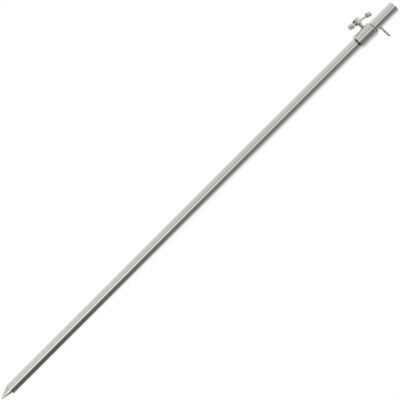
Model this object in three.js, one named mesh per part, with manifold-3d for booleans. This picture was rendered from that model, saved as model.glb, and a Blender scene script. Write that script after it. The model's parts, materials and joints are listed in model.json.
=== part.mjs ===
// Telescopic bank stick in stainless tube: a spiked outer tube, a mast that slides and turns inside it, and
// a T-screw in a collar that clamps the mast. The head of the mast takes a threaded rod rest or bite alarm.
// Millimetres, +Z up along the stick, origin at the tip of the spike, T-screw on the -X side.
import * as THREE from "three";
import { mergeVertices } from "three/addons/utils/BufferGeometryUtils.js";
import Module from "manifold-3d";

const wasm = await Module();
wasm.setup();

// Clearances
const fixedFit = 0.1; // beside a piece that is pressed, bonded or screwed in
const runningFit = 0.15; // round a piece that slides or turns
const endFloat = 0.3; // between end faces that meet only at a stop
const overrun = 2; // how far a cut runs past the face that it opens

// Outer tube and spike: the tube's bore holds the mast and its bush, and its outside is 16
const tubeWall = 1;
const spikeLength = 17;
const spikeTipDiameter = 0.6;
const spikeSpigotLength = 20;
const footSpare = 74.4; // empty length in the closed stick, between the spike and the mast's foot

// Mast tube and its travel
const mastDiameter = 12;
const mastWall = 1;
const mastTravel = 500;

// Bushes that guide the mast, one fixed in the mouth of the tube and one on the mast's foot
const mouthBushWall = 0.75;
const mouthBushLength = 12;
const mouthBushFlange = 1;
const footBushLength = 12;
const footFlangeThickness = 2;
const footPlugDepth = 12;

// Lock collar, with a shoulder that rests on the mouth bush: its outside is 20.2
const collarWall = 2; // round the tube
const collarGrip = 11.3; // how far the collar reaches down over the tube
const collarBelowScrew = 7; // from the shoulder to the screw's axis
const collarAboveScrew = 6.9; // from the screw's axis to the collar's top
const collarChamfer = 0.8;
const boreChamfer = 0.3;

// Wiper ring, seated in the top of the collar, with a lip that stands up round the mast
const wiperWidth = 1.5;
const wiperDepth = 2.2;
const wiperLipHeight = 0.9; // above the collar's top
const wiperLipRoot = 1.35;
const wiperLipEdge = 1.15;

// Lock screw, along its own axis, with its thread's outside diameter as the shank
const screwDiameter = 5;
const screwChamfer = 0.3;
const hubDiameter = 10;
const hubHeight = 8.3;
const hubChamfer = 0.5;
const hubReach = 5.65; // bare shank between the collar and the hub
const barHoleHeight = 3.7; // centre of the cross hole above the hub's lower face

// Pressure pad under the lock screw
const padClearance = 0.4; // the pad's radius is smaller than the screw's by this
const padThickness = 1.5;
const padStemDiameter = 2;
const padStemLength = 1.8;

// Tommy bar and its knobs
const barDiameter = 3;
const barChamfer = 0.3;
const barBetweenKnobs = 26.7;
const knobDiameter = 7;
const knobLength = 6.4;
const knobChamfer = 0.6;
const knobHoleDepth = 4.4;
const barRestOffset = 4.35; // how far the bar lies along its hole, towards its upper knob
const barRestAngle = THREE.MathUtils.degToRad(-31); // from the stick's axis, about the screw

// Head sleeve, with the mast in its lower end and the threaded insert in its upper end: its outside is 16
const headWall = 1.9;
const headChamfer = 0.4;
const headMastDepth = 21.1;
const insertLength = 15.6;
const insertRecess = 0.3;
const socketDiameter = 8.3; // inside the 3/8 inch thread
const socketDepth = 13;
const socketChamfer = 0.7;

// Hand pin through the side of the head sleeve
const pinDiameter = 3;
const pinReach = 14.3; // beyond the sleeve's surface
const pinRootDepth = 4; // from the sleeve's surface to the pin's inner end
const pinHeight = 6.7; // above the sleeve's lower end
const pinChamfer = 0.3;

// Sides of the round faces
const tubeSides = 64;
const smallSides = 32;

// Radii that several pieces share
const mastRadius = mastDiameter / 2;
const mastBore = mastRadius - mastWall;
const plugRadius = mastBore - fixedFit;
const guideBore = mastRadius + runningFit;
const mouthBushRadius = guideBore + mouthBushWall;
const tubeBore = mouthBushRadius + fixedFit;
const tubeRadius = tubeBore + tubeWall;
const collarCounterbore = tubeRadius + fixedFit;
const collarRadius = collarCounterbore + collarWall;
const wiperRadius = guideBore + wiperWidth;
const headBore = mastRadius + fixedFit;
const headRadius = headBore + headWall;
const screwRadius = screwDiameter / 2;
const padRadius = screwRadius - padClearance;
const barRadius = barDiameter / 2;
const pinRadius = pinDiameter / 2;
const padStemRadius = padStemDiameter / 2;

// Heights along the stick
const spigotTop = spikeLength + spikeSpigotLength;
const footBottom = spigotTop + footSpare;
const footFlangeTop = footBottom + footFlangeThickness;
const footBushBottom = footFlangeTop + endFloat;
const footBushTop = footBushBottom + footBushLength;
const mastBottom = footBushTop + endFloat;
const mouthBushBottom = footBushTop + mastTravel + endFloat;
const tubeTop = mouthBushBottom + mouthBushLength;
const collarBottom = tubeTop - collarGrip;
const collarShoulder = tubeTop + mouthBushFlange + fixedFit;
const screwAxis = collarShoulder + collarBelowScrew;
const collarTop = screwAxis + collarAboveScrew;
const wiperBottom = collarTop - wiperDepth;
const wiperTop = collarTop + wiperLipHeight;
const headBottom = wiperTop + endFloat;
const mastTop = headBottom + headMastDepth;
const insertBottom = mastTop + endFloat;
const insertTop = insertBottom + insertLength;
const headTop = insertTop + insertRecess;
const pinAxis = headBottom + pinHeight;

// Distances from the stick's axis along the screw
const padFace = mastRadius + runningFit;
const screwTip = padFace + padThickness + fixedFit;
const hubBottom = collarRadius + hubReach;
const hubTop = hubBottom + hubHeight;
const barHole = hubBottom + barHoleHeight;

const quarterTurn = Math.PI / 2;

// A body turned about Z from [radius, height] points, listed up the outside.
function turned(points, sides) {
  const profile = points.map(([radius, height]) => new THREE.Vector2(radius, height));
  return new THREE.LatheGeometry(profile, sides).rotateX(quarterTurn);
}

// A ring about Z: the same, with the profile closed on itself.
function ring(points, sides) {
  return turned([...points, points[0]], sides);
}

// A solid round bar about Z with chamfered ends.
function rod(radius, bottom, top, chamfer, sides) {
  return turned([
    [0, bottom],
    [radius - chamfer, bottom],
    [radius, bottom + chamfer],
    [radius, top - chamfer],
    [radius - chamfer, top],
    [0, top],
  ], sides);
}

// A plain round drill about Z, for cuts.
function drill(radius, bottom, top, sides) {
  return turned([[0, bottom], [radius, bottom], [radius, top], [0, top]], sides);
}

// The same body laid along +X.
function alongX(geometry) {
  return geometry.rotateY(quarterTurn);
}

function solidOf(geometry) {
  const bare = geometry.clone();
  bare.deleteAttribute("normal");
  bare.deleteAttribute("uv");
  const merged = mergeVertices(bare);
  const vertProperties = merged.attributes.position.array;
  const triVerts = new Uint32Array(merged.index.array);
  return new wasm.Manifold(new wasm.Mesh({ numProp: 3, vertProperties, triVerts }));
}

function cut(geometry, tool) {
  const { vertProperties, triVerts } = solidOf(geometry).subtract(solidOf(tool)).getMesh();
  const result = new THREE.BufferGeometry();
  result.setAttribute("position", new THREE.BufferAttribute(vertProperties, 3));
  result.setIndex(new THREE.BufferAttribute(triVerts, 1));
  result.computeVertexNormals();
  return result;
}

function outerTube() {
  return ring([
    [tubeBore, spikeLength],
    [tubeRadius, spikeLength],
    [tubeRadius, tubeTop],
    [tubeBore, tubeTop],
  ], tubeSides);
}

function groundSpike() {
  const spigotRadius = tubeBore - fixedFit;
  return turned([
    [0, 0],
    [spikeTipDiameter / 2, 0],
    [tubeRadius, spikeLength],
    [spigotRadius, spikeLength],
    [spigotRadius, spigotTop],
    [0, spigotTop],
  ], tubeSides);
}

// The flange of the bush rests on the tube's end, under the collar's shoulder.
function mouthBush() {
  return ring([
    [guideBore, mouthBushBottom],
    [mouthBushRadius, mouthBushBottom],
    [mouthBushRadius, tubeTop],
    [tubeRadius, tubeTop],
    [tubeRadius, tubeTop + mouthBushFlange],
    [guideBore, tubeTop + mouthBushFlange],
  ], tubeSides);
}

function lockCollar() {
  const wiperSeat = wiperRadius + fixedFit;
  const body = ring([
    [collarRadius - collarChamfer, collarBottom],
    [collarRadius, collarBottom + collarChamfer],
    [collarRadius, collarTop - collarChamfer],
    [collarRadius - collarChamfer, collarTop],
    [wiperSeat, collarTop],
    [wiperSeat, wiperBottom - fixedFit],
    [guideBore, wiperBottom - fixedFit],
    [guideBore, collarShoulder],
    [collarCounterbore, collarShoulder],
    [collarCounterbore, collarBottom + boreChamfer],
    [collarCounterbore + boreChamfer, collarBottom],
  ], tubeSides);
  const tapping = alongX(drill(screwRadius + runningFit, 0, collarRadius + overrun, smallSides));
  return cut(body, tapping.rotateZ(Math.PI).translate(0, 0, screwAxis));
}

function wiperRing() {
  return ring([
    [guideBore, wiperBottom],
    [wiperRadius, wiperBottom],
    [wiperRadius, collarTop],
    [guideBore + wiperLipRoot, collarTop],
    [guideBore + wiperLipEdge, wiperTop],
    [guideBore, wiperTop],
  ], tubeSides);
}

function mastTube() {
  const body = ring([
    [mastBore, mastBottom],
    [mastRadius, mastBottom],
    [mastRadius, mastTop],
    [mastBore, mastTop],
  ], tubeSides);
  return cut(body, pinHole(mastRadius));
}

// The plug's shank fills the mast's lower end and carries the foot bush above its flange.
function footPlug() {
  const plugTop = mastBottom + footPlugDepth;
  return turned([
    [0, footBottom],
    [mastRadius, footBottom],
    [mastRadius, footFlangeTop],
    [plugRadius, footFlangeTop],
    [plugRadius, plugTop],
    [0, plugTop],
  ], tubeSides);
}

function footBush() {
  const bore = plugRadius + runningFit;
  const outside = tubeBore - runningFit;
  return ring([
    [bore, footBushBottom],
    [outside, footBushBottom],
    [outside, footBushTop],
    [bore, footBushTop],
  ], tubeSides);
}

function headSleeve() {
  const body = ring([
    [headBore, headBottom],
    [headRadius - headChamfer, headBottom],
    [headRadius, headBottom + headChamfer],
    [headRadius, headTop - headChamfer],
    [headRadius - headChamfer, headTop],
    [headBore, headTop],
  ], tubeSides);
  return cut(body, pinHole(headRadius));
}

function threadedInsert() {
  const socket = socketDiameter / 2;
  return turned([
    [0, insertBottom],
    [mastRadius, insertBottom],
    [mastRadius, insertTop],
    [socket + socketChamfer, insertTop],
    [socket, insertTop - socketChamfer],
    [socket, insertTop - socketDepth],
    [0, insertTop - socketDepth],
  ], tubeSides);
}

// The drill for the hand pin, through one side of a tube of the given radius.
function pinHole(radius) {
  const hole = alongX(drill(pinRadius + fixedFit, 0, radius + overrun, smallSides));
  return hole.translate(0, 0, pinAxis);
}

function handPin() {
  const inner = headRadius - pinRootDepth;
  return alongX(rod(pinRadius, inner, headRadius + pinReach, pinChamfer, smallSides));
}

function pressurePad() {
  const back = padFace + padThickness;
  return turned([
    [0, padFace],
    [padRadius, padFace],
    [padRadius, back],
    [padStemRadius, back],
    [padStemRadius, back + padStemLength],
    [0, back + padStemLength],
  ], smallSides);
}

// Turned about its own axis, with the cross hole along +X.
function lockScrew() {
  const hub = hubDiameter / 2;
  const stemHole = padStemRadius + runningFit;
  const stemHoleTop = screwTip + padStemLength;
  const body = turned([
    [0, stemHoleTop],
    [stemHole, stemHoleTop],
    [stemHole, screwTip],
    [screwRadius - screwChamfer, screwTip],
    [screwRadius, screwTip + screwChamfer],
    [screwRadius, hubBottom],
    [hub - hubChamfer, hubBottom],
    [hub, hubBottom + hubChamfer],
    [hub, hubTop - hubChamfer],
    [hub - hubChamfer, hubTop],
    [0, hubTop],
  ], smallSides);
  const hole = drill(barRadius + runningFit, -hub - overrun, hub + overrun, smallSides);
  return cut(body, alongX(hole).translate(0, 0, barHole));
}

// The bar's ends sit in blind holes in the knobs, a fit short of the bottom.
function tommyBar() {
  const end = barBetweenKnobs / 2 + knobHoleDepth - fixedFit;
  return rod(barRadius, -end, end, barChamfer, smallSides);
}

function tommyKnob() {
  const radius = knobDiameter / 2;
  const inner = barBetweenKnobs / 2;
  const outer = inner + knobLength;
  const hole = barRadius + fixedFit;
  return turned([
    [0, inner + knobHoleDepth],
    [hole, inner + knobHoleDepth],
    [hole, inner],
    [radius - knobChamfer, inner],
    [radius, inner + knobChamfer],
    [radius, outer - knobChamfer],
    [radius - knobChamfer, outer],
    [0, outer],
  ], smallSides);
}

// Finishes
const tubeSteel = { color: 0xb4b4b2, roughness: 0.22, metalness: 1 };
const turnedSteel = { color: 0xacacaa, roughness: 0.28, metalness: 1 };
const nylon = { color: 0xe6e4dc, roughness: 0.5, metalness: 0 };
const blackRubber = { color: 0x1a1a1a, roughness: 0.7, metalness: 0 };
const brass = { color: 0xb58d3d, roughness: 0.35, metalness: 1 };

function piece(name, geometry, finish) {
  const mesh = new THREE.Mesh(geometry, new THREE.MeshStandardMaterial(finish));
  mesh.name = name;
  return mesh;
}

// Everything that stays with the outer tube
const stick = new THREE.Group();
stick.add(
  piece("outer_tube", outerTube(), tubeSteel),
  piece("ground_spike", groundSpike(), turnedSteel),
  piece("mouth_bush", mouthBush(), nylon),
  piece("lock_collar", lockCollar(), turnedSteel),
  piece("wiper_ring", wiperRing(), blackRubber),
);

// The mast, with its foot and head
const pin = piece("hand_pin", handPin(), turnedSteel);
pin.position.z = pinAxis;
const mast = new THREE.Group();
mast.add(
  piece("mast_tube", mastTube(), tubeSteel),
  piece("foot_plug", footPlug(), turnedSteel),
  piece("foot_bush", footBush(), nylon),
  piece("head_sleeve", headSleeve(), tubeSteel),
  piece("threaded_insert", threadedInsert(), brass),
  pin,
);

// The tommy bar slides in the hub: its own +Z runs along the bar towards the upper knob
const barFrame = new THREE.Group();
barFrame.position.set(barRestOffset, 0, barHole);
barFrame.rotation.y = quarterTurn;
const lowerKnob = piece("tommy_knob_lower", tommyKnob(), turnedSteel);
lowerKnob.rotation.x = Math.PI;
barFrame.add(
  piece("tommy_bar", tommyBar(), turnedSteel),
  piece("tommy_knob_upper", tommyKnob(), turnedSteel),
  lowerKnob,
);

// The screw turns with its bar, and the pad only moves along with them
const screwFrame = new THREE.Group();
screwFrame.rotation.z = -barRestAngle;
screwFrame.add(piece("lock_screw", lockScrew(), turnedSteel), barFrame);
const clampFrame = new THREE.Group();
clampFrame.position.z = screwAxis;
clampFrame.rotation.y = -quarterTurn;
clampFrame.add(piece("pressure_pad", pressurePad(), brass), screwFrame);

const bankStick = new THREE.Group();
bankStick.add(stick, mast, clampFrame);

export default bankStick;
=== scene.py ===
"""The looks of a telescopic bank stick: its turned and drawn pieces, their finishes and a plain studio.

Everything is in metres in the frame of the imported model: +Z up along the stick, the tip of the spike at the
origin, the lock screw on the -X side. Each piece is made about its own turning axis and stands for one node.
"""

import json
import logging
import math
from collections.abc import Iterable, Sequence
from dataclasses import dataclass
from enum import Enum

import bmesh
import bpy
from mathutils import Matrix, Vector


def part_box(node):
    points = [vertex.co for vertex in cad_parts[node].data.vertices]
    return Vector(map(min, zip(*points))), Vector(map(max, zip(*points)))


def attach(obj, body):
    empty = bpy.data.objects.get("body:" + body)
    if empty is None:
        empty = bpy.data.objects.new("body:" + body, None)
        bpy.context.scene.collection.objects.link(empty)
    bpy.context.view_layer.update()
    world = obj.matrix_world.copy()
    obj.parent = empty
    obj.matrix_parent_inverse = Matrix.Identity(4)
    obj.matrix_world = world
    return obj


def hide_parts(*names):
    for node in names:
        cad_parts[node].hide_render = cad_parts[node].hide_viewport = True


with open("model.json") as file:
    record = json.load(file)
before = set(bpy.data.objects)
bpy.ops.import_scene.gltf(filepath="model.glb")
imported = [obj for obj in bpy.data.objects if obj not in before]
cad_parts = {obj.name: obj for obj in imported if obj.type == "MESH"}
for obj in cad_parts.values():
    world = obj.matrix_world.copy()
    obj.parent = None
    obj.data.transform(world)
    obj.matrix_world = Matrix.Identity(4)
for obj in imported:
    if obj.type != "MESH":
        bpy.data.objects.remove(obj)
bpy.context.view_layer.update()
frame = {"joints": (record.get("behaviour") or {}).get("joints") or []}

Material = bpy.types.Material
Mesh = bpy.types.Mesh
Socket = bpy.types.NodeSocket

log = logging.getLogger("bank_stick")

MM = 0.001
FIXED_FIT = 0.1 * MM
RUNNING_FIT = 0.15 * MM
OVERRUN = 2 * MM
ROUND_SIDES = 160
SMALL_SIDES = 96
MERGE_DISTANCE = 0.0005 * MM
FULL_TURN = 360.0


class Body(str, Enum):
    """The moving bodies that pieces ride on."""

    STICK = "stick"
    FOOT = "foot"
    MAST = "mast"
    PAD = "pad"
    SCREW = "screw"
    TOMMY = "tommy"


class Slot(str, Enum):
    """The record's material slots."""

    TUBE = "tube_steel"
    TURNED = "turned_steel"
    NYLON = "nylon"
    RUBBER = "black_rubber"
    BRASS = "brass"


@dataclass(frozen=True)
class Axis:
    """A line that a piece is turned about.

    Attributes:
        origin: the point on the line from which heights are counted.
        direction: the unit vector along which they grow.
    """

    origin: Vector
    direction: Vector

    def matrix(self) -> Matrix:
        """The move from turning space, where the axis is +Z, to the part's frame."""
        turn = self.direction.to_track_quat("Z", "Y").to_matrix().to_4x4()
        return Matrix.Translation(self.origin) @ turn

    def raised(self, height: float) -> "Axis":
        """The same line, with its heights counted from the given one."""
        return Axis(self.origin + self.direction * height, self.direction)


STICK_AXIS = Axis(Vector((0, 0, 0)), Vector((0, 0, 1)))


@dataclass(frozen=True)
class Span:
    """The room of a round shape along its axis.

    Attributes:
        radius: its outside radius.
        start: the height of its lower end.
        end: the height of its upper end.
    """

    radius: float
    start: float
    end: float

    @classmethod
    def upright(cls, node: str) -> "Span":
        """The span of a node that stands about the stick's axis."""
        low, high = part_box(node)
        return cls(high.x, low.z, high.z)

    @classmethod
    def sideways(cls, node: str) -> "Span":
        """The span of a node that lies about the screw's axis, which points along -X."""
        low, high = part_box(node)
        return cls(high.y, -high.x, -low.x)

    def outside(self, chamfer: float = 0.0) -> list[tuple[float, float]]:
        """The corners of the outside, with or without chamfers.

        Args:
            chamfer: the size of the chamfer at both ends.

        Returns:
            The corners' (radius, height) places, from the lower end up.
        """
        if chamfer == 0:
            return [(self.radius, self.start), (self.radius, self.end)]
        return [
            (self.radius - chamfer, self.start),
            (self.radius, self.start + chamfer),
            (self.radius, self.end - chamfer),
            (self.radius - chamfer, self.end),
        ]


@dataclass(frozen=True)
class Corner:
    """One corner of a turned outline.

    Attributes:
        radius: its distance from the turning axis.
        height: its height along the axis.
        ease: the radius of the small round that breaks the corner.
    """

    radius: float
    height: float
    ease: float = 0.0


def eased(ease: float, *places: tuple[float, float]) -> list[Corner]:
    """Corners at (radius, height) places that share one ease."""
    return [Corner(radius, height, ease) for radius, height in places]


def round_bar(span: Span, ease: float = 0.0, chamfer: float = 0.0, bore: float = 0.0) -> list[Corner]:
    """The corners of a round bar or, with a bore, of a tube.

    Args:
        span: the room that it fills.
        ease: the ease of its corners.
        chamfer: the size of the chamfers at its ends.
        bore: its inside radius.

    Returns:
        The corners, from the lower end up.
    """
    return eased(ease, (bore, span.start), *span.outside(chamfer), (bore, span.end))


class Outline:
    """A turned section: its corners in order, with their rounds as arcs."""

    STEP = math.radians(15)
    HOLD_SHARE = 0.8
    ROOM_SHARE = 0.45
    FEWEST_STEPS = 2

    def __init__(self, corners: Sequence[Corner]) -> None:
        """Keeps the corners.

        Args:
            corners: the corners in order, up the outside. A section that starts on the axis also ends
                there, and any other one is a closed ring.
        """
        self.corners = list(corners)
        self.closed = self.corners[0].radius > 0

    def points(self) -> list[Vector]:
        """Works out the section's points.

        Returns:
            The points as (radius, height) vectors, with a holding point beside each round, so that the
            flat stretches between rounds keep a flat shading.
        """
        found: list[Vector] = []
        last = len(self.corners) - 1
        for index, corner in enumerate(self.corners):
            place = Vector((corner.radius, corner.height))
            if corner.ease == 0 or (not self.closed and index in (0, last)):
                found.append(place)
                continue
            before = self.corners[index - 1]
            after = self.corners[(index + 1) % len(self.corners)]
            to_before = Vector((before.radius, before.height)) - place
            to_after = Vector((after.radius, after.height)) - place
            found.extend(self._round(place, to_before, to_after, corner.ease))
        return found

    def _round(self, place: Vector, to_before: Vector, to_after: Vector, ease: float) -> list[Vector]:
        """Rounds one corner.

        Args:
            place: the sharp corner.
            to_before: the way to the corner before it.
            to_after: the way to the corner after it.
            ease: the wanted radius, which shrinks where the stretches are too short for it.

        Returns:
            The arc's points between two holding points.
        """
        room = self.ROOM_SHARE * min(to_before.length, to_after.length)
        half = to_before.angle(to_after) / 2
        back = min(ease / math.tan(half), room / (1 + self.HOLD_SHARE))
        radius = back * math.tan(half)
        inward = (to_before.normalized() + to_after.normalized()).normalized()
        centre = place + inward * (radius / math.sin(half))
        first = place + to_before.normalized() * back
        turn = math.pi - 2 * half
        steps = max(self.FEWEST_STEPS, math.ceil(turn / self.STEP))
        if (first - centre).cross(place + to_after.normalized() * back - centre) < 0:
            turn = -turn
        arc = [
            centre + Matrix.Rotation(turn * step / steps, 2) @ (first - centre)
            for step in range(steps + 1)
        ]
        hold = back * (1 + self.HOLD_SHARE)
        return [place + to_before.normalized() * hold, *arc, place + to_after.normalized() * hold]


class Wiring:
    """Adds nodes to a tree and links them."""

    MIX_INPUTS = {"FLOAT": (0, 2, 3), "RGBA": (0, 6, 7)}
    MIX_OUTPUT = {"FLOAT": 0, "RGBA": 2}

    def __init__(self, tree: bpy.types.NodeTree) -> None:
        """Keeps the tree and empties it."""
        self.tree = tree
        tree.nodes.clear()

    def add(self, kind: str, inputs: dict | Sequence = (), **settings: object) -> bpy.types.Node:
        """Adds one node.

        Args:
            kind: the node's type name.
            inputs: values or sockets for its inputs, by name or in order.
            **settings: the node's own properties.

        Returns:
            The new node.
        """
        node = self.tree.nodes.new(kind)
        for name, value in settings.items():
            setattr(node, name, value)
        pairs = inputs.items() if isinstance(inputs, dict) else enumerate(inputs)
        for key, value in pairs:
            if isinstance(value, Socket):
                self.tree.links.new(value, node.inputs[key])
            else:
                node.inputs[key].default_value = value
        return node

    def math(self, operation: str, *terms: object) -> Socket:
        """Adds a math node and returns its result."""
        return self.add("ShaderNodeMath", terms, operation=operation).outputs[0]

    def vector(self, operation: str, *terms: object) -> Socket:
        """Adds a vector math node and returns its result, a number for a product or a length."""
        outputs = self.add("ShaderNodeVectorMath", terms, operation=operation).outputs
        return outputs["Value" if operation in ("DOT_PRODUCT", "LENGTH") else "Vector"]

    def spread(self, value: Socket, *limits: object) -> Socket:
        """Spreads a value over another range.

        Args:
            value: the value.
            *limits: the ends of its own range and, where they aren't 0 and 1, those of the other one.

        Returns:
            The socket with the result.
        """
        return self.add("ShaderNodeMapRange", [value, *limits]).outputs[0]

    def mix(self, share: object, *values: object, kind: str = "FLOAT") -> Socket:
        """Mixes two numbers or, where the kind is RGBA, two colours."""
        inputs = dict(zip(self.MIX_INPUTS[kind], (share, *values)))
        return self.add("ShaderNodeMix", inputs, data_type=kind).outputs[self.MIX_OUTPUT[kind]]


def placed(name: str, data: bpy.types.ID) -> bpy.types.Object:
    """Puts data in the scene.

    Args:
        name: the object's name.
        data: its data.

    Returns:
        The new object.
    """
    holder = bpy.data.objects.new(name, data)
    bpy.context.scene.collection.objects.link(holder)
    return holder


def evaluated_mesh(holder: bpy.types.Object) -> Mesh:
    """A plain mesh of what an object's modifiers make."""
    graph = bpy.context.evaluated_depsgraph_get()
    return bpy.data.meshes.new_from_object(
        holder.evaluated_get(graph), preserve_all_data_layers=True, depsgraph=graph
    )


class GeometryTree(Wiring):
    """A Geometry Nodes tree with named inputs, which makes plain meshes."""

    SHARED_INPUTS = {"Merge Distance": "Float", "Material": "Material"}

    def __init__(self, name: str) -> None:
        """Starts the tree with its geometry sockets."""
        super().__init__(bpy.data.node_groups.new(name, "GeometryNodeTree"))
        self.keys: dict[str, str] = {}
        for side in ("INPUT", "OUTPUT"):
            self._socket("Geometry", side, "Geometry")

    def _socket(self, name: str, side: str, kind: str) -> bpy.types.NodeTreeInterfaceSocket:
        """Adds one socket to the tree's interface."""
        return self.tree.interface.new_socket(name, in_out=side, socket_type=f"NodeSocket{kind}")

    def declare(self, kinds: dict[str, str]) -> bpy.types.bpy_prop_collection:
        """Args:
            kinds: each input's name and its kind, such as Float, Int or Material.

        Returns:
            The sockets that carry the inputs, by name.
        """
        for name, kind in (kinds | self.SHARED_INPUTS).items():
            self.keys[name] = self._socket(name, "INPUT", kind).identifier
        return self.add("NodeGroupInput").outputs

    def close(self, geometry: Socket, given: bpy.types.bpy_prop_collection) -> None:
        """Ends the tree: the geometry is merged, smooth, plain and in its material.

        Args:
            geometry: the socket with the geometry.
            given: the sockets that carry the inputs, by name.
        """
        merged = self.add(
            "GeometryNodeMergeByDistance", {"Geometry": geometry, "Distance": given["Merge Distance"]}
        )
        smooth = self.add("GeometryNodeSetShadeSmooth", [merged.outputs[0]])
        real = self.add("GeometryNodeRealizeInstances", [smooth.outputs[0]])
        dressed = self.add(
            "GeometryNodeSetMaterial", {"Geometry": real.outputs[0], "Material": given["Material"]}
        )
        self.add("NodeGroupOutput", [dressed.outputs[0]])

    def make(self, source: Mesh, material: Material | None, values: dict[str, object]) -> Mesh:
        """Runs the tree on a mesh.

        Args:
            source: the mesh that the tree starts from.
            material: the finish, or None for a cutter.
            values: a value for each of the tree's own inputs.

        Returns:
            The result as a plain mesh of its own.
        """
        holder = placed(self.tree.name, source)
        modifier = holder.modifiers.new(self.tree.name, "NODES")
        modifier.node_group = self.tree
        shared = {"Merge Distance": MERGE_DISTANCE, "Material": material}
        for name, value in (values | shared).items():
            modifier[self.keys[name]] = value
        made = evaluated_mesh(holder)
        holder.modifiers.remove(modifier)
        bpy.data.objects.remove(holder)
        return made


class TurningTree(GeometryTree):
    """Turns an outline, given as edges in the XY plane, about Z."""

    GUIDE = 5 * MM

    def __init__(self) -> None:
        """Builds the tree: the outline as a curve, swept round a guide circle."""
        super().__init__("turned_section")
        given = self.declare({"Guide Radius": "Float", "Sides": "Int"})
        section = self.add("GeometryNodeMeshToCurve", [given["Geometry"]])
        circle = self.add(
            "GeometryNodeCurvePrimitiveCircle",
            {"Resolution": given["Sides"], "Radius": given["Guide Radius"]},
        )
        swept = self.add(
            "GeometryNodeCurveToMesh",
            {"Curve": circle.outputs["Curve"], "Profile Curve": section.outputs[0]},
        )
        self.close(swept.outputs[0], given)

    def turn(self, outline: Outline, sides: int, material: Material | None) -> Mesh:
        """Turns one outline.

        Args:
            outline: the section.
            sides: how many flats stand for the round.
            material: the finish, or None for a cutter.

        Returns:
            The turned mesh about Z.
        """
        points = outline.points()
        edges = [(index, index + 1) for index in range(len(points) - 1)]
        if outline.closed:
            edges.append((len(points) - 1, 0))
        section = bpy.data.meshes.new("section")
        section.from_pydata([(point.x - self.GUIDE, -point.y, 0) for point in points], edges, [])
        return self.make(section, material, {"Guide Radius": self.GUIDE, "Sides": sides})


@dataclass(frozen=True)
class Thread:
    """A screw thread's sizes.

    Attributes:
        crest: its outside radius.
        root: the radius at the bottom of its groove.
        pitch: its advance in one turn.
        end_radius: the radius to which its chamfered ends come down.
    """

    crest: float
    root: float
    pitch: float
    end_radius: float


class ThreadTree(GeometryTree):
    """Winds a threaded bar about Z: a grid sheared along the helix, with both ends clipped and closed."""

    ROWS = 12
    LEAD_TURNS = 2
    ROOT_SHARE = 0.22
    CREST_SHARE = 0.86
    HALF = 0.5

    def __init__(self) -> None:
        """Builds the tree: rows follow the helix, and each row's phase gives its radius."""
        super().__init__("wound_thread")
        sizes = ("Length", "Pitch", "Crest Radius", "Root Radius", "End Radius")
        given = self.declare({name: "Float" for name in sizes} | {"Sides": "Int", "Rows": "Int"})
        length, pitch, root = given["Length"], given["Pitch"], given["Root Radius"]
        grid = self.add(
            "GeometryNodeMeshGrid",
            {
                "Size X": 2 * self.HALF,
                "Size Y": 2 * self.HALF,
                "Vertices X": self.math("ADD", given["Sides"], 1.0),
                "Vertices Y": self.math("ADD", given["Rows"], 1.0),
            },
        )
        place = self.add("GeometryNodeInputPosition")
        parts = self.add("ShaderNodeSeparateXYZ", [place.outputs[0]]).outputs
        share_round = self.math("ADD", parts[0], self.HALF)
        share_up = self.math("ADD", parts[1], self.HALF)
        row = self.math("ROUND", self.math("MULTIPLY", share_up, given["Rows"]))
        row_turns = self.math("DIVIDE", row, float(self.ROWS))
        turns = self.math("SUBTRACT", self.math("ADD", row_turns, share_round), float(self.LEAD_TURNS))
        height = self.math("MAXIMUM", self.math("MULTIPLY", turns, pitch), 0.0)
        clipped = self.math("MINIMUM", height, length)
        to_end = self.math("MINIMUM", clipped, self.math("SUBTRACT", length, clipped))
        phase = self.math("MULTIPLY", self.math("PINGPONG", row_turns, self.HALF), 1 / self.HALF)
        ridge = self.spread(phase, self.ROOT_SHARE, self.CREST_SHARE)
        depth = self.math("SUBTRACT", given["Crest Radius"], root)
        wound = self.math("ADD", root, self.math("MULTIPLY", ridge, depth))
        radius = self.math("MINIMUM", wound, self.math("ADD", given["End Radius"], to_end))
        after_first = self.math("GREATER_THAN", row, self.HALF)
        before_last = self.math("LESS_THAN", row, self.math("SUBTRACT", given["Rows"], self.HALF))
        radius = self.math("MULTIPLY", radius, self.math("MULTIPLY", after_first, before_last))
        angle = self.math("MULTIPLY", share_round, 2 * math.pi)
        flat = [self.math("MULTIPLY", radius, self.math(side, angle)) for side in ("COSINE", "SINE")]
        where = self.add("ShaderNodeCombineXYZ", [*flat, clipped])
        moved = self.add(
            "GeometryNodeSetPosition", {"Geometry": grid.outputs["Mesh"], "Position": where.outputs[0]}
        )
        self.close(moved.outputs[0], given)

    def wind(self, thread: Thread, length: float, sides: int, material: Material) -> Mesh:
        """Winds one threaded bar.

        Args:
            thread: the thread's sizes.
            length: the bar's length.
            sides: how many flats stand for the round.
            material: the finish.

        Returns:
            The closed mesh, from height 0 up.
        """
        turns = math.ceil(length / thread.pitch) + 2 * self.LEAD_TURNS
        return self.make(
            bpy.data.meshes.new("start"),
            material,
            {
                "Length": length,
                "Pitch": thread.pitch,
                "Crest Radius": thread.crest,
                "Root Radius": thread.root,
                "End Radius": thread.end_radius,
                "Sides": sides,
                "Rows": self.ROWS * turns,
            },
        )


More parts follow.
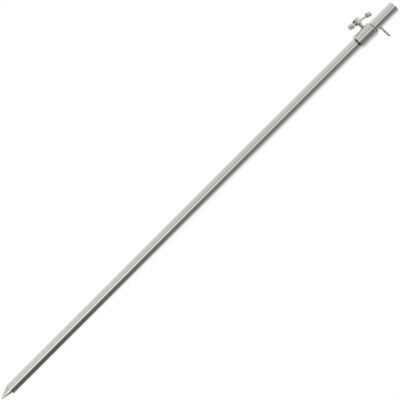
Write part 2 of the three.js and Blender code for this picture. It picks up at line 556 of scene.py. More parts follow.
class Surface(Wiring):
    """The wiring of a material that knows its piece's turning axis.

    Attributes:
        material: the material.
        axis: the piece's axis.
        place: the socket with the position on the piece.
        along: the socket with the way along the section.
        around: the socket with the direction round the axis.
    """

    NOISE_RANGE = (0.3, 0.7)
    TONE_RANGE = (0.35, 0.65)

    def __init__(self, name: str, axis: Axis) -> None:
        """Starts the material.

        Args:
            name: the material's name.
            axis: the piece's axis.
        """
        self.material = bpy.data.materials.new(name)
        self.material.use_nodes = True
        super().__init__(self.material.node_tree)
        self.axis = axis
        self.place = self.add("ShaderNodeTexCoord").outputs["Object"]
        local = self.vector("SUBTRACT", self.place, axis.origin)
        across = self.vector("CROSS_PRODUCT", axis.direction, local)
        height = self.vector("DOT_PRODUCT", local, axis.direction)
        self.along = self.math("ADD", height, self.vector("LENGTH", across))
        self.around = self.vector("NORMALIZE", across)

    def noise(self, source: Socket, size: float, detail: float) -> Socket:
        """Adds a noise pattern with features of a real size.

        Args:
            source: the socket with a position or with one length.
            size: the size of the features.
            detail: how many finer layers it has.

        Returns:
            The socket with the pattern.
        """
        plain = source.type == "VALUE"
        inputs = {"W" if plain else "Vector": source, "Scale": 1 / size, "Detail": detail}
        dimensions = "1D" if plain else "3D"
        return self.add("ShaderNodeTexNoise", inputs, noise_dimensions=dimensions).outputs["Fac"]

    def bump(self, strength: float, reach: float, height: Socket) -> Socket:
        """The normal of a surface that a pattern raises."""
        inputs = {"Strength": strength, "Distance": reach, "Height": height}
        return self.add("ShaderNodeBump", inputs).outputs[0]

    def swing(self, pattern: Socket, middle: float, reach: float) -> Socket:
        """A value that swings round its middle as the pattern goes from low to high."""
        return self.spread(pattern, *self.NOISE_RANGE, middle - reach, middle + reach)

    def tone(self, pattern: Socket, colour: Sequence[float], reach: float) -> Socket:
        """Makes a colour a little darker and lighter with a pattern.

        Args:
            pattern: the socket with the pattern.
            colour: the colour.
            reach: how much it varies.

        Returns:
            The socket with the colour.
        """
        ramp = self.add("ShaderNodeValToRGB", [pattern])
        shares = (1 - reach, 1 + reach)
        for element, position, share in zip(ramp.color_ramp.elements, self.TONE_RANGE, shares):
            element.position = position
            element.color = (*(min(1.0, channel * share) for channel in colour), 1)
        return ramp.outputs["Color"]

    def dull(self, plain: object, value: float, start: float, whole: float) -> Socket:
        """A value that goes over to another one on the faces square to the axis.

        Args:
            plain: the value everywhere else.
            value: the value on those faces.
            start: how square to the axis a face is where it begins to change, from 0 to 1.
            whole: how square it is where the change is whole.

        Returns:
            The socket with the value.
        """
        normal = self.add("ShaderNodeTexCoord").outputs["Normal"]
        square = self.math("ABSOLUTE", self.vector("DOT_PRODUCT", normal, self.axis.direction))
        return self.spread(square, start, whole, plain, value)


@dataclass(frozen=True)
class Finish:
    """What every finish has.

    Attributes:
        name: the material's name.
        slot: the record's material slot.
        colour: its colour.
        colour_swing: how much of the colour varies.
        roughness: its roughness.
        roughness_swing: how much that varies.
        bump: how strongly its fine pattern is raised.
    """

    name: str
    slot: Slot
    colour: tuple[float, float, float]
    colour_swing: float
    roughness: float
    roughness_swing: float
    bump: float

    def dress(self, axis: Axis) -> Material:
        """Makes the material for a piece.

        Args:
            axis: the piece's turning axis.

        Returns:
            The material.
        """
        surface = Surface(self.name, axis)
        shader = surface.add("ShaderNodeBsdfPrincipled", self._inputs(surface))
        surface.add("ShaderNodeOutputMaterial", [shader.outputs[0]])
        return surface.material

    def _inputs(self, surface: Surface) -> dict[str, object]:
        """Works out the shader's inputs, in the way of one kind of finish."""
        raise NotImplementedError


@dataclass(frozen=True)
class LatheMetal(Finish):
    """Metal with fine lines round its axis, left by turning or by a polishing belt.

    Attributes:
        line: the width of the fine lines.
        pass_width: the width of the broader passes.
        mark: the size of the handling marks.
        stretch: how strongly the lines stretch a highlight across them.
        face_shine: how metallic the faces square to the axis are, less than 1 where a tool left them dull.
        face_roughness: the roughness of those faces where they are dull.
    """

    line: float = 0.12 * MM
    pass_width: float = 2.4 * MM
    mark: float = 14 * MM
    stretch: float = 0.75
    face_shine: float = 1.0
    face_roughness: float = 0.6

    LINE_DETAIL = 3
    PASS_DETAIL = 2
    MARK_DETAIL = 4
    MARK_SHARE = 0.5
    QUARTER_TURN = 0.25
    BUMP_REACH = 0.002 * MM
    FACE_RANGE = (0.8, 0.97)

    def _inputs(self, surface: Surface) -> dict[str, object]:
        """Works out the inputs for polished metal, whose lines and marks change its gloss.

        Args:
            surface: the wiring of the material.

        Returns:
            The inputs by name.
        """
        lines = surface.noise(surface.along, self.line, self.LINE_DETAIL)
        passes = surface.noise(surface.along, self.pass_width, self.PASS_DETAIL)
        marks = surface.noise(surface.place, self.mark, self.MARK_DETAIL)
        worn = surface.mix(self.MARK_SHARE, passes, marks)
        metallic, roughness = 1.0, surface.swing(worn, self.roughness, self.roughness_swing)
        if self.face_shine < 1:
            metallic = surface.dull(metallic, self.face_shine, *self.FACE_RANGE)
            roughness = surface.dull(roughness, self.face_roughness, *self.FACE_RANGE)
        return {
            "Base Color": surface.tone(worn, self.colour, self.colour_swing),
            "Metallic": metallic,
            "Roughness": roughness,
            "Anisotropic": self.stretch,
            "Anisotropic Rotation": self.QUARTER_TURN,
            "Tangent": surface.around,
            "Normal": surface.bump(self.bump, self.BUMP_REACH, lines),
        }


@dataclass(frozen=True)
class Moulded(Finish):
    """Moulded plastic or rubber with a fine grain.

    Attributes:
        grain: the size of the grain.
        cloud: the size of the slow changes of tone.
        glow: how much light goes into the surface, as in nylon.
    """

    grain: float = 0.25 * MM
    cloud: float = 6 * MM
    glow: float = 0.0

    GRAIN_DETAIL = 2
    CLOUD_DETAIL = 3
    BUMP_REACH = 0.02 * MM
    GLOW_DEPTH = 1.5 * MM

    def _inputs(self, surface: Surface) -> dict[str, object]:
        """Works out the inputs for a grained plastic or rubber.

        Args:
            surface: the wiring of the material.

        Returns:
            The inputs by name.
        """
        grain = surface.noise(surface.place, self.grain, self.GRAIN_DETAIL)
        clouds = surface.noise(surface.place, self.cloud, self.CLOUD_DETAIL)
        return {
            "Base Color": surface.tone(clouds, self.colour, self.colour_swing),
            "Roughness": surface.swing(grain, self.roughness, self.roughness_swing),
            "Subsurface Weight": self.glow,
            "Subsurface Scale": self.GLOW_DEPTH,
            "Normal": surface.bump(self.bump, self.BUMP_REACH, grain),
        }


POLISHED_TUBE = LatheMetal("polished_tube", Slot.TUBE, (0.68, 0.68, 0.67), 0.02, 0.15, 0.03, 0.12)
TURNED_STEEL = LatheMetal("turned_steel", Slot.TURNED, (0.66, 0.66, 0.65), 0.03, 0.2, 0.03, 0.2)
SATIN_STEEL = LatheMetal(
    "satin_steel", Slot.TURNED, (0.66, 0.66, 0.65), 0.03, 0.38, 0.04, 0.25, stretch=0.5, face_shine=0.2
)
TURNED_BRASS = LatheMetal("turned_brass", Slot.BRASS, (0.71, 0.55, 0.24), 0.08, 0.3, 0.06, 0.3)
WHITE_NYLON = Moulded("white_nylon", Slot.NYLON, (0.86, 0.85, 0.81), 0.03, 0.45, 0.06, 0.25, glow=0.2)
BLACK_RUBBER = Moulded("black_rubber", Slot.RUBBER, (0.03, 0.03, 0.03), 0.25, 0.68, 0.08, 0.5)


class Workshop:
    """Turns, threads, drills and hands over the pieces."""

    SHARP = math.radians(32)

    def __init__(self) -> None:
        """Sets up the two trees."""
        self.turning = TurningTree()
        self.threading = ThreadTree()

    def turn(
        self, corners: Sequence[Corner], axis: Axis, material: Material | None, sides: int = ROUND_SIDES
    ) -> Mesh:
        """Turns an outline about an axis.

        Args:
            corners: the outline's corners, up the outside.
            axis: what they are turned about.
            material: the finish, or None for a cutter.
            sides: how many flats stand for the round.

        Returns:
            The mesh in the part's frame, facing outwards.
        """
        return self._settle(self.turning.turn(Outline(corners), sides, material), axis)

    def wind(self, thread: Thread, length: float, axis: Axis, material: Material) -> Mesh:
        """Winds a threaded bar about an axis, from its origin on."""
        return self._settle(self.threading.wind(thread, length, SMALL_SIDES, material), axis)

    def drill(self, radius: float, start: float, end: float, axis: Axis) -> Mesh:
        """A plain round cutter about an axis."""
        return self.turn(round_bar(Span(radius, start, end)), axis, None, SMALL_SIDES)

    def combine(self, operation: str, body: Mesh, others: Iterable[Mesh]) -> Mesh:
        """Cuts or joins meshes.

        Args:
            operation: DIFFERENCE or UNION.
            body: the mesh that is worked on.
            others: the cutters, or what is joined to it.

        Returns:
            The new mesh.
        """
        holder = placed("work", body)
        tools = [placed("tool", other) for other in others]
        for tool in tools:
            modifier = holder.modifiers.new("work", "BOOLEAN")
            modifier.operation = operation
            modifier.solver = "EXACT"
            modifier.object = tool
        made = evaluated_mesh(holder)
        for item in (holder, *tools):
            bpy.data.objects.remove(item)
        return made

    def _settle(self, mesh: Mesh, axis: Axis) -> Mesh:
        """Moves a mesh from turning space to the part's frame and turns its faces outwards.

        Args:
            mesh: the mesh about Z.
            axis: the axis that it goes to.

        Returns:
            The same mesh.
        """
        mesh.transform(axis.matrix())
        shape = bmesh.new()
        shape.from_mesh(mesh)
        bmesh.ops.remove_doubles(shape, verts=shape.verts, dist=MERGE_DISTANCE)
        bmesh.ops.recalc_face_normals(shape, faces=shape.faces)
        shape.to_mesh(mesh)
        shape.free()
        return mesh

    def hand_over(self, mesh: Mesh, node: str, body: Body, slot: Slot) -> None:
        """Makes the finished piece that stands for a node.

        Args:
            mesh: its final mesh, in the part's frame.
            node: the node that it stands for.
            body: the body that it rides on.
            slot: the record's material slot; not used.
        """
        mesh.shade_smooth()
        mesh.set_sharp_from_angle(angle=self.SHARP)
        mesh.name = f"finished_{node}"
        piece = placed(mesh.name, mesh)
        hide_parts(node)
        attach(piece, body.value)
        log.info("%s: %d faces on body %s", piece.name, len(mesh.polygons), body.value)

    def piece(
        self,
        node: str,
        body: Body,
        finish: Finish,
        corners: Sequence[Corner],
        axis: Axis = STICK_AXIS,
        sides: int = ROUND_SIDES,
        cutters: Sequence[Mesh] = (),
    ) -> None:
        """Makes a piece that is turned and, at most, cut.

        Args:
            node: the node that it stands for.
            body: the body that it rides on.
            finish: its finish.
            corners: its outline's corners, up the outside.
            axis: what they are turned about.
            sides: how many flats stand for the round.
            cutters: what is cut out of it.
        """
        mesh = self.turn(corners, axis, finish.dress(axis), sides)
        if cutters:
            mesh = self.combine("DIFFERENCE", mesh, cutters)
        self.hand_over(mesh, node, body, finish.slot)


def joint(name: str) -> dict:
    """The record's joint of that name."""
    return next(found for found in frame["joints"] if found["name"] == name)


def screw_axis() -> Axis:
    """The lock screw's axis, from the stick's axis outwards."""
    turn = joint("screw_turn")
    return Axis(Vector(turn["pos_m"]), Vector(turn["axis"]).normalized())


def screw_radius() -> float:
    """The radius of the lock screw's thread, which the pad comes short of by its clearance."""
    return Span.sideways("pressure_pad").radius + ClampScrew.pad_clearance


@dataclass
class OuterStick:
    """The outer tube with its spike, and the lock collar with what it holds."""

    shop: Workshop
    tube_wall: float = 1 * MM
    tube_ease: float = 0.15 * MM
    spike_tip: float = 0.3 * MM
    spike_shoulder_ease: float = 0.2 * MM
    spigot_chamfer: float = 1 * MM
    collar_chamfer: float = 0.8 * MM
    collar_ease: float = 0.12 * MM
    bore_chamfer: float = 0.3 * MM
    wiper_width: float = 1.5 * MM
    wiper_lip_root: float = 1.35 * MM
    wiper_lip_edge: float = 1.15 * MM
    countersink: float = 0.35 * MM

    def outer_tube(self) -> None:
        """The drawn tube, with its ends eased."""
        span = Span.upright("outer_tube")
        corners = round_bar(span, self.tube_ease, bore=span.radius - self.tube_wall)
        self.shop.piece("outer_tube", Body.STICK, POLISHED_TUBE, corners)

    def ground_spike(self) -> None:
        """The cone, with a blunted tip and a spigot that is pressed into the tube."""
        span = Span.upright("ground_spike")
        shoulder = Span.upright("outer_tube").start
        spigot = span.radius - self.tube_wall - FIXED_FIT
        corners = [
            Corner(0, span.start),
            Corner(self.spike_tip, span.start, self.spike_tip),
            *eased(
                self.spike_shoulder_ease,
                (span.radius, shoulder),
                (spigot, shoulder),
                (spigot, span.end - self.spigot_chamfer),
                (spigot - self.spigot_chamfer, span.end),
                (0, span.end),
            ),
        ]
        self.shop.piece("ground_spike", Body.STICK, TURNED_STEEL, corners)

    def mouth_bush(self) -> None:
        """The flanged bush in the tube's mouth."""
        span = Span.upright("mouth_bush")
        tube = Span.upright("outer_tube")
        bore = Span.upright("mast_tube").radius + RUNNING_FIT
        sleeve = tube.radius - self.tube_wall - FIXED_FIT
        corners = eased(
            self.tube_ease,
            (bore, span.start),
            (sleeve, span.start),
            (sleeve, tube.end),
            (span.radius, tube.end),
            (span.radius, span.end),
            (bore, span.end),
        )
        self.shop.piece("mouth_bush", Body.STICK, WHITE_NYLON, corners)

    def _screw_hole(self, collar: Span) -> Mesh:
        """Makes the cutter for the screw's hole, with its countersink.

        Args:
            collar: the collar's span.

        Returns:
            The cutter.
        """
        hole = screw_radius() + RUNNING_FIT
        mouth = hole + self.countersink
        corners = eased(
            0.0,
            (0, 0),
            (hole, 0),
            (hole, collar.radius - self.countersink),
            (mouth, collar.radius),
            (mouth, collar.radius + OVERRUN),
            (0, collar.radius + OVERRUN),
        )
        return self.shop.turn(corners, screw_axis(), None, SMALL_SIDES)

    def lock_collar(self) -> None:
        """The turned collar: chamfered ends, a seat for the wiper and a countersunk hole for the screw."""
        span = Span.upright("lock_collar")
        wiper = Span.upright("wiper_ring")
        bore = Span.upright("mast_tube").radius + RUNNING_FIT
        seat = Span.upright("outer_tube").radius + FIXED_FIT
        shoulder = Span.upright("mouth_bush").end + FIXED_FIT
        wiper_seat, wiper_floor = wiper.radius + FIXED_FIT, wiper.start - FIXED_FIT
        corners = eased(
            self.collar_ease,
            *span.outside(self.collar_chamfer),
            (wiper_seat, span.end),
            (wiper_seat, wiper_floor),
            (bore, wiper_floor),
            (bore, shoulder),
            (seat, shoulder),
            (seat, span.start + self.bore_chamfer),
            (seat + self.bore_chamfer, span.start),
        )
        cutters = [self._screw_hole(span)]
        self.shop.piece("lock_collar", Body.STICK, TURNED_STEEL, corners, cutters=cutters)

    def wiper_ring(self) -> None:
        """The rubber ring, with a lip that stands up round the mast."""
        span = Span.upright("wiper_ring")
        bore = span.radius - self.wiper_width
        face = Span.upright("lock_collar").end
        corners = eased(
            self.tube_ease,
            (bore, span.start),
            (span.radius, span.start),
            (span.radius, face),
            (bore + self.wiper_lip_root, face),
            (bore + self.wiper_lip_edge, span.end),
            (bore, span.end),
        )
        self.shop.piece("wiper_ring", Body.STICK, BLACK_RUBBER, corners)

    def build(self) -> None:
        """Makes every piece."""
        self.outer_tube()
        self.ground_spike()
        self.mouth_bush()
        self.lock_collar()
        self.wiper_ring()


@dataclass
class Mast:
    """The mast tube with its foot, its head sleeve, the threaded insert and the hand pin."""

    shop: Workshop
    tube_wall: float = 1 * MM
    ease: float = 0.12 * MM
    head_chamfer: float = 0.4 * MM
    head_ease: float = 0.1 * MM
    socket_radius: float = 4.15 * MM
    socket_depth: float = 13 * MM
    socket_chamfer: float = 0.7 * MM
    socket_pitch: float = 1.27 * MM
    socket_thread_depth: float = 0.55 * MM
    socket_relief: float = 1.2 * MM
    pin_length: float = 18.3 * MM
    pin_chamfer: float = 0.3 * MM
    plug_chamfer: float = 0.6 * MM

    def pin_axis(self) -> Axis:
        """The hand pin's axis, from the stick's axis outwards."""
        low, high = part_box("hand_pin")
        middle = (low + high) / 2
        return Axis(Vector((0, 0, middle.z)), Vector((middle.x, middle.y, 0)).normalized())

    def pin_radius(self) -> float:
        """The hand pin's radius."""
        low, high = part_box("hand_pin")
        return (high.z - low.z) / 2

    def _pin_hole(self, tube: Span) -> Mesh:
        """The cutter for the pin's hole, through one wall of a tube."""
        return self.shop.drill(self.pin_radius() + FIXED_FIT, 0, tube.radius + OVERRUN, self.pin_axis())

    def mast_tube(self) -> None:
        """The thinner tube, drilled for the pin."""
        span = Span.upright("mast_tube")
        corners = round_bar(span, self.ease, bore=span.radius - self.tube_wall)
        self.shop.piece("mast_tube", Body.MAST, POLISHED_TUBE, corners, cutters=[self._pin_hole(span)])

    def foot_plug(self) -> None:
        """The flanged plug in the mast's lower end."""
        span = Span.upright("foot_plug")
        flange_end = Span.upright("foot_bush").start - 2 * RUNNING_FIT
        shank = span.radius - self.tube_wall - FIXED_FIT
        chamfer = self.plug_chamfer
        corners = eased(
            self.ease,
            (0, span.start),
            (span.radius - chamfer, span.start),
            (span.radius, span.start + chamfer),
            (span.radius, flange_end),
            (shank, flange_end),
            (shank, span.end - chamfer),
            (shank - chamfer, span.end),
            (0, span.end),
        )
        self.shop.piece("foot_plug", Body.MAST, TURNED_STEEL, corners)

    def foot_bush(self) -> None:
        """The nylon bush that runs in the outer tube."""
        plug = Span.upright("foot_plug").radius - self.tube_wall - FIXED_FIT
        span = Span.upright("foot_bush")
        corners = round_bar(span, self.ease, self.plug_chamfer, bore=plug + RUNNING_FIT)
        self.shop.piece("foot_bush", Body.FOOT, WHITE_NYLON, corners)

    def head_sleeve(self) -> None:
        """The sleeve on the mast's upper end, chamfered and drilled for the pin."""
        span = Span.upright("head_sleeve")
        bore = Span.upright("mast_tube").radius + FIXED_FIT
        corners = round_bar(span, self.head_ease, self.head_chamfer, bore)
        self.shop.piece("head_sleeve", Body.MAST, POLISHED_TUBE, corners, cutters=[self._pin_hole(span)])

    def threaded_insert(self) -> None:
        """The brass insert, with a real thread in its socket."""
        span = Span.upright("threaded_insert")
        floor, socket = span.end - self.socket_depth, self.socket_radius
        material = TURNED_BRASS.dress(STICK_AXIS)
        corners = eased(
            self.ease,
            (0, span.start),
            *span.outside(),
            (socket + self.socket_chamfer, span.end),
            (socket, span.end - self.socket_chamfer),
            (socket, floor),
            (0, floor),
        )
        body = self.shop.turn(corners, STICK_AXIS, material)
        start = floor + self.socket_relief
        thread = Thread(
            crest=socket + self.socket_thread_depth,
            root=socket - RUNNING_FIT,
            pitch=self.socket_pitch,
            end_radius=socket - 2 * RUNNING_FIT,
        )
        tap = self.shop.wind(thread, span.end + OVERRUN - start, STICK_AXIS.raised(start), material)
        mesh = self.shop.combine("DIFFERENCE", body, [tap])
        self.shop.hand_over(mesh, "threaded_insert", Body.MAST, TURNED_BRASS.slot)

    def hand_pin(self) -> None:
        """The pin that stands out of the head sleeve."""
        axis = self.pin_axis()
        low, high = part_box("hand_pin")
        middle = ((low + high) / 2 - axis.origin).length
        span = Span(self.pin_radius(), middle - self.pin_length / 2, middle + self.pin_length / 2)
        corners = round_bar(span, self.head_ease, self.pin_chamfer)
        self.shop.piece("hand_pin", Body.MAST, TURNED_STEEL, corners, axis, SMALL_SIDES)

    def build(self) -> None:
        """Makes every piece."""
        self.mast_tube()
        self.foot_plug()
        self.foot_bush()
        self.head_sleeve()
        self.threaded_insert()
        self.hand_pin()


@dataclass
class ClampScrew:
    """The lock screw with its pressure pad."""

    shop: Workshop
    pad_clearance: float = 0.4 * MM
    pad_thickness: float = 1.5 * MM
    pad_ease: float = 0.15 * MM
    stem_radius: float = 1 * MM
    thread_pitch: float = 0.8 * MM
    thread_depth: float = 0.45 * MM
    thread_end: float = 0.15 * MM
    thread_relief: float = 0.5 * MM
    hub_height: float = 8.3 * MM
    hub_chamfer: float = 0.5 * MM
    hub_ease: float = 0.12 * MM
    bar_clearance: float = 0.15 * MM

    def pressure_pad(self) -> None:
        """The brass pad, with the stem that sits in the screw's end."""
        span = Span.sideways("pressure_pad")
        back = span.start + self.pad_thickness
        corners = eased(
            self.pad_ease,
            (0, span.start),
            (span.radius, span.start),
            (span.radius, back),
            (self.stem_radius, back),
            (self.stem_radius, span.end),
            (0, span.end),
        )
        self.shop.piece("pressure_pad", Body.PAD, TURNED_BRASS, corners, screw_axis(), SMALL_SIDES)

    def _holes(self, screw: Span) -> list[Mesh]:
        """Makes the cutters for the pad's stem and for the tommy bar.

        Args:
            screw: the screw's span.

        Returns:
            The two cutters.
        """
        stem = self.stem_radius + RUNNING_FIT
        stem_end = Span.sideways("pressure_pad").end + FIXED_FIT
        reach = screw.radius + OVERRUN
        bar = tommy_axis()
        to_hub = (screw_axis().origin - bar.origin).dot(bar.direction)
        return [
            self.shop.drill(stem, screw.start - OVERRUN, stem_end, screw_axis()),
            self.shop.drill(tommy_radius() + self.bar_clearance, -reach, reach, bar.raised(to_hub)),
        ]

    def lock_screw(self) -> None:
        """The threaded shank and its hub, bored for the pad's stem and cross-drilled for the bar."""
        axis, span = screw_axis(), Span.sideways("lock_screw")
        material = TURNED_STEEL.dress(axis)
        hub = Span(span.radius, span.end - self.hub_height, span.end)
        neck = screw_radius() - self.thread_depth
        neck_start = hub.start - self.thread_relief
        corners = [
            Corner(0, neck_start),
            Corner(neck, neck_start),
            *eased(self.hub_ease, (neck, hub.start), *hub.outside(self.hub_chamfer), (0, hub.end)),
        ]
        head = self.shop.turn(corners, axis, material)
        thread = Thread(screw_radius(), neck, self.thread_pitch, neck - self.thread_end)
        length = hub.start - self.thread_relief / 2 - span.start
        shank = self.shop.wind(thread, length, axis.raised(span.start), material)
        body = self.shop.combine("UNION", head, [shank])
        mesh = self.shop.combine("DIFFERENCE", body, self._holes(span))
        self.shop.hand_over(mesh, "lock_screw", Body.SCREW, TURNED_STEEL.slot)

    def build(self) -> None:
        """Makes both pieces."""
        self.pressure_pad()
        self.lock_screw()


def knob_middles() -> list[Vector]:
    """The middles of the upper and the lower knob."""
    return [sum(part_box(f"tommy_knob_{end}"), Vector()) / 2 for end in ("upper", "lower")]


def tommy_axis() -> Axis:
    """The tommy bar's axis, from the middle between its knobs towards the upper one."""
    upper, lower = knob_middles()
    return Axis((upper + lower) / 2, Vector(joint("tommy_slide")["axis"]).normalized())


def tommy_radius() -> float:
    """The tommy bar's radius."""
    low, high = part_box("tommy_bar")
    return (high.x - low.x) / 2


@dataclass
class TommyBar:
    """The sliding bar and its two knobs."""

    shop: Workshop
    knob_length: float = 6.4 * MM
    knob_chamfer: float = 0.6 * MM
    knob_ease: float = 0.15 * MM
    knob_end_ease: float = 0.7 * MM
    knob_hole_depth: float = 4.4 * MM
    bar_chamfer: float = 0.3 * MM

    def _knob_start(self) -> float:
        """How far from the bar's middle its knobs begin."""
        upper, lower = knob_middles()
        return ((upper - lower).length - self.knob_length) / 2

    def bar(self) -> None:
        """The plain bar, with rounded ends."""
        end = self._knob_start() + self.knob_hole_depth - FIXED_FIT
        corners = round_bar(Span(tommy_radius(), -end, end), self.bar_chamfer, self.bar_chamfer)
        self.shop.piece("tommy_bar", Body.TOMMY, TURNED_STEEL, corners, tommy_axis(), SMALL_SIDES)

    def knobs(self) -> None:
        """The two knobs, each with a blind hole for the bar's end."""
        middle, start = tommy_axis(), self._knob_start()
        hole, hole_end = tommy_radius() + FIXED_FIT, start + self.knob_hole_depth
        for end, way in (("upper", 1), ("lower", -1)):
            low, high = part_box(f"tommy_knob_{end}")
            span = Span((high.x - low.x) / 2, start, start + self.knob_length)
            edges = span.outside(self.knob_chamfer)
            corners = [
                *eased(self.knob_ease, (0, hole_end), (hole, hole_end), (hole, start), *edges[:2]),
                *eased(self.knob_end_ease, *edges[2:], (0, span.end)),
            ]
            axis = Axis(middle.origin, middle.direction * way)
            self.shop.piece(f"tommy_knob_{end}", Body.TOMMY, SATIN_STEEL, corners, axis)

    def build(self) -> None:
        """Makes the three pieces."""
        self.bar()
        self.knobs()


@dataclass(frozen=True)
class Ring:
    """The light that polished metal sees all round at one elevation.

    Attributes:
        elevation: the ring's height above the horizon, in degrees.
        levels: its light, as (azimuth in degrees from the camera towards the photograph's right, level).
    """

    elevation: float
    levels: tuple[tuple[float, float], ...]


# The light from straight down to straight up.
LIGHT_RINGS = (
    Ring(-90, ((-180, 0.04), (180, 0.04))),
    Ring(-68, ((-180, 0.04), (-20, 0.03), (10, 0.01), (80, 0.02), (98, 0.5), (150, 0.3), (180, 0.04))),
    Ring(-57, (
        (-180, 0.05), (-150, 0.05), (-135, 0.85), (-80, 0.85), (-62, 0.1), (-38, 0.06), (-25, 0.6),
        (0, 0.6), (10, 0.03), (52, 0.03), (62, 0.8), (140, 0.9), (180, 0.05),
    )),
    Ring(-45, (
        (-180, 0.1), (-165, 0.15), (-150, 0.85), (-80, 0.85), (-55, 0.3), (-34, 0.2), (-10, 0.6),
        (5, 0.5), (20, 0.2), (60, 0.2), (85, 0.9), (150, 1.1), (180, 0.1),
    )),
    Ring(-30, (
        (-180, 0.2), (-150, 0.9), (-80, 0.85), (-50, 0.4), (-30, 0.22), (0, 0.4), (14, 0.15),
        (80, 0.15), (88, 1.2), (160, 1.2), (180, 0.2),
    )),
    *(
        Ring(elevation, (
            (-180, 1.0), (-118, 0.95), (-56, 0.88), (-21, 0.76), (-18, 1.6), (-9, 1.6), (-5, 0.95),
            (2, 0.66), (8, 0.13), (83, 0.12), (88, 1.45), (100, 1.3), (180, 1.3),
        ))
        for elevation in (-14, -7)
    ),
    Ring(0, (
        (-180, 0.95), (-77, 0.76), (-45, 0.69), (-34, 0.6), (-20, 0.54), (-16, 1.15), (-7, 1.15),
        (-3, 0.65), (2, 0.55), (12, 0.2), (36, 0.22), (60, 0.4), (100, 1.0), (120, 1.2), (180, 1.2),
    )),
    Ring(14, (
        (-180, 1.0), (-77, 0.88), (-45, 0.79), (-34, 0.67), (-18, 0.58), (-14, 1.05), (-4, 1.05),
        (0, 0.7), (5, 0.55), (13, 0.18), (24, 0.2), (42, 0.32), (66, 0.41), (84, 0.62), (95, 1.0),
        (180, 1.0),
    )),
    Ring(20, (
        (-180, 0.97), (-70, 0.85), (-30, 0.65), (5, 0.4), (13, 0.18), (60, 0.12), (140, 0.1),
        (165, 0.95),
    )),
    Ring(28, (
        (-180, 0.95), (-40, 0.88), (-24, 0.8), (-5, 0.5), (10, 0.3), (60, 0.1), (120, 0.05), (150, 0.5),
        (180, 0.95),
    )),
    Ring(50, (
        (-180, 0.95), (-65, 0.87), (-30, 0.88), (0, 0.6), (65, 0.3), (100, 0.2), (150, 0.6),
        (180, 0.95),
    )),
    *(Ring(elevation, ((-180, 0.95), (180, 0.95))) for elevation in (75, 90)),
)


@dataclass(frozen=True)
class Card:
    """A level card, part of a ring round the stick, that only polished metal sees.

    Attributes:
        inner: its inner radius.
        outer: its outer radius.
        start: where it begins, in degrees from the camera towards the photograph's right.
        end: where it ends.
        level: its light; a level of 0 makes a black card, whose reflection is painted shade.
    """

    inner: float
    outer: float
    start: float
    end: float
    level: float


def grey(level: float) -> tuple[float, float, float, float]:
    """A grey as a colour."""
    return (level, level, level, 1.0)


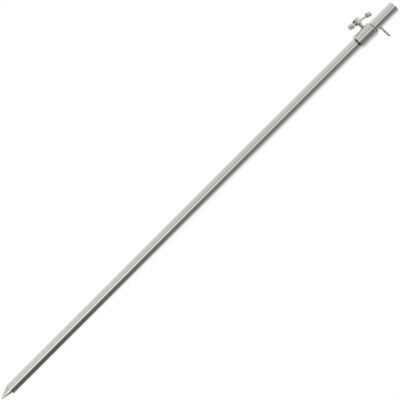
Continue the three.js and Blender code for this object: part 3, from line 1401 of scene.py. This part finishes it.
@dataclass
class Studio:
    """A pale floor, a white backdrop, soft light, bright cards under the tip, a black card under the collar
    that paints shade into the reflections there, and the camera.
    """

    camera_turn: float = math.radians(-13.5)
    camera_distance: float = 1.595
    camera_height: float = 0.3501
    camera_offset: float = -0.915 * MM
    camera_roll: float = math.radians(44.96)
    sensor: float = 36.0
    lens: float = 115.3
    floor_radius: float = 4.0
    floor_gap: float = 0.5 * MM
    floor_tone: float = 0.8
    floor_glow: float = 0.8
    floor_share: float = 0.3
    soft_light: float = 0.85
    rings: tuple[Ring, ...] = LIGHT_RINGS
    tip_cards: tuple[Card, ...] = (
        Card(1 * MM, 60 * MM, -180, -20, 0.78),
        Card(1 * MM, 60 * MM, -20, 12, 1.4),
        Card(1 * MM, 60 * MM, 51, 180, 1.35),
    )
    # A black card just under the collar, seen only in reflections: it paints shade on the collar's lower edge
    # and on the tube just below it.
    painted_shade_card: Card = Card(8.4 * MM, 14 * MM, -50, 32, 0.0)
    painted_shade_card_gap: float = 0.3 * MM
    card_step: float = 4.0

    LEVEL_SCALE = 2.0

    def towards_camera(self) -> Vector:
        """The level direction from the stick to the camera."""
        return Vector((-math.sin(self.camera_turn), -math.cos(self.camera_turn), 0))

    def rightwards(self) -> Vector:
        """The level direction to the right of an upright camera."""
        return Vector((math.cos(self.camera_turn), -math.sin(self.camera_turn), 0))

    def camera(self) -> None:
        """The camera at the photograph's angle, rolled so that the stick lies across the frame."""
        up, right, back = Vector((0, 0, 1)), self.rightwards(), self.towards_camera()
        across = up * math.cos(self.camera_roll) + right * math.sin(self.camera_roll)
        upwards = up * math.sin(self.camera_roll) - right * math.cos(self.camera_roll)
        data = bpy.data.cameras.new("camera")
        data.sensor_width = self.sensor
        data.lens = self.lens
        camera = placed("camera", data)
        turn = Matrix((across, upwards, back)).transposed().to_4x4()
        place = back * self.camera_distance + up * self.camera_height + right * self.camera_offset
        camera.matrix_world = Matrix.Translation(place) @ turn
        bpy.context.scene.camera = camera

    def _prop(self, mesh: Mesh) -> tuple[bpy.types.Object, Wiring]:
        """Puts a mesh in the scene.

        Args:
            mesh: the mesh.

        Returns:
            Its object, and the wiring of its own new material.
        """
        material = bpy.data.materials.new(mesh.name)
        material.use_nodes = True
        mesh.materials.append(material)
        return placed(mesh.name, mesh), Wiring(material.node_tree)

    def floor(self) -> None:
        """A pale disc just under the tip: white to the camera, with a faint shadow."""
        shape = bmesh.new()
        bmesh.ops.create_circle(shape, cap_ends=True, segments=ROUND_SIDES, radius=self.floor_radius)
        bmesh.ops.translate(shape, verts=shape.verts, vec=(0, 0, -self.floor_gap))
        mesh = bpy.data.meshes.new("floor")
        shape.to_mesh(mesh)
        shape.free()
        floor, wiring = self._prop(mesh)
        floor.visible_glossy = False
        glow = self.floor_glow / (1 - self.floor_share)
        paint = wiring.add("ShaderNodeBsdfDiffuse", {"Color": grey(self.floor_tone)}).outputs[0]
        lit = wiring.add("ShaderNodeEmission", {"Strength": glow}).outputs[0]
        seen = wiring.add("ShaderNodeMixShader", [self.floor_share, lit, paint]).outputs[0]
        to_camera = wiring.add("ShaderNodeLightPath").outputs["Is Camera Ray"]
        whole = wiring.add("ShaderNodeMixShader", [to_camera, paint, seen])
        wiring.add("ShaderNodeOutputMaterial", [whole.outputs[0]])

    def card(self, card: Card, height: float) -> None:
        """Lays a card.

        Args:
            card: its shape and its light.
            height: the height at which it lies.
        """
        steps = math.ceil((card.end - card.start) / self.card_step)
        places: list[Vector] = []
        for step in range(steps + 1):
            turn = math.radians(card.start + (card.end - card.start) * step / steps)
            outwards = self.towards_camera() * math.cos(turn) + self.rightwards() * math.sin(turn)
            places += [outwards * radius + Vector((0, 0, height)) for radius in (card.inner, card.outer)]
        faces = [(first, first + 1, first + 3, first + 2) for first in range(0, 2 * steps, 2)]
        mesh = bpy.data.meshes.new("card")
        mesh.from_pydata(places, [], faces)
        piece, wiring = self._prop(mesh)
        glow = wiring.add("ShaderNodeEmission", {"Strength": card.level})
        wiring.add("ShaderNodeOutputMaterial", [glow.outputs[0]])
        piece.visible_camera = False
        piece.visible_diffuse = False
        piece.visible_transmission = False
        piece.visible_shadow = False

    def _ring_light(self, wiring: Wiring, azimuth: Socket, ring: Ring) -> Socket:
        """Wires one ring's light as a ramp over the azimuth.

        Args:
            wiring: the world's wiring.
            azimuth: the socket with the azimuth as a share of the full turn.
            ring: the ring.

        Returns:
            The socket with the light.
        """
        ramp = wiring.add("ShaderNodeValToRGB", [azimuth])
        elements = ramp.color_ramp.elements
        elements.remove(elements[1])
        for index, (angle, level) in enumerate(ring.levels):
            share = (angle + FULL_TURN / 2) / FULL_TURN
            element = elements[0] if index == 0 else elements.new(share)
            element.position = share
            element.color = grey(level / self.LEVEL_SCALE)
        return ramp.outputs["Color"]

    def _mirrored(self, wiring: Wiring) -> Socket:
        """Wires the rings' light, which goes over from each ring to the next one.

        Args:
            wiring: the world's wiring.

        Returns:
            The socket with the light.
        """
        way = wiring.add("ShaderNodeTexCoord").outputs["Generated"]
        ahead = wiring.vector("DOT_PRODUCT", way, self.towards_camera())
        right = wiring.vector("DOT_PRODUCT", way, self.rightwards())
        azimuth = wiring.spread(wiring.math("ARCTAN2", right, ahead), -math.pi, math.pi)
        height = wiring.add("ShaderNodeSeparateXYZ", [way]).outputs["Z"]
        light = self._ring_light(wiring, azimuth, self.rings[0])
        for below, above in zip(self.rings, self.rings[1:]):
            edges = [math.sin(math.radians(ring.elevation)) for ring in (below, above)]
            share = wiring.spread(height, *edges)
            light = wiring.mix(share, light, self._ring_light(wiring, azimuth, above), kind="RGBA")
        return light

    def world(self) -> None:
        """White to the camera, plain soft light on everything, and the rings in polished metal."""
        world = bpy.data.worlds.new("studio")
        world.use_nodes = True
        bpy.context.scene.world = world
        wiring = Wiring(world.node_tree)
        white, soft, mirrored = (
            wiring.add("ShaderNodeBackground", {"Color": colour, "Strength": strength}).outputs[0]
            for colour, strength in (
                (grey(1.0), 1.0),
                (grey(1.0), self.soft_light),
                (self._mirrored(wiring), self.LEVEL_SCALE),
            )
        )
        path = wiring.add("ShaderNodeLightPath").outputs
        light = wiring.add("ShaderNodeMixShader", [path["Is Glossy Ray"], soft, mirrored])
        seen = wiring.math("MAXIMUM", path["Is Camera Ray"], path["Is Transmission Ray"])
        whole = wiring.add("ShaderNodeMixShader", [seen, light.outputs[0], white])
        wiring.add("ShaderNodeOutputWorld", [whole.outputs[0]])

    def build(self) -> None:
        """Sets the whole studio up."""
        self.camera()
        self.floor()
        for card in self.tip_cards:
            self.card(card, -self.floor_gap / 2)
        # Painted shade: the black card under the collar darkens the reflections at the collar's lower end.
        self.card(self.painted_shade_card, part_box("lock_collar")[0].z - self.painted_shade_card_gap)
        self.world()
        bpy.context.scene.view_settings.view_transform = "Standard"


def main() -> None:
    """Builds the sub-assemblies and the studio."""
    logging.basicConfig(level=logging.INFO, format="%(message)s")
    Studio().build()
    shop = Workshop()
    for assembly in (OuterStick(shop), Mast(shop), ClampScrew(shop), TommyBar(shop)):
        assembly.build()
        log.info("%s is built", type(assembly).__name__)


if __name__ == "__main__":
    main()
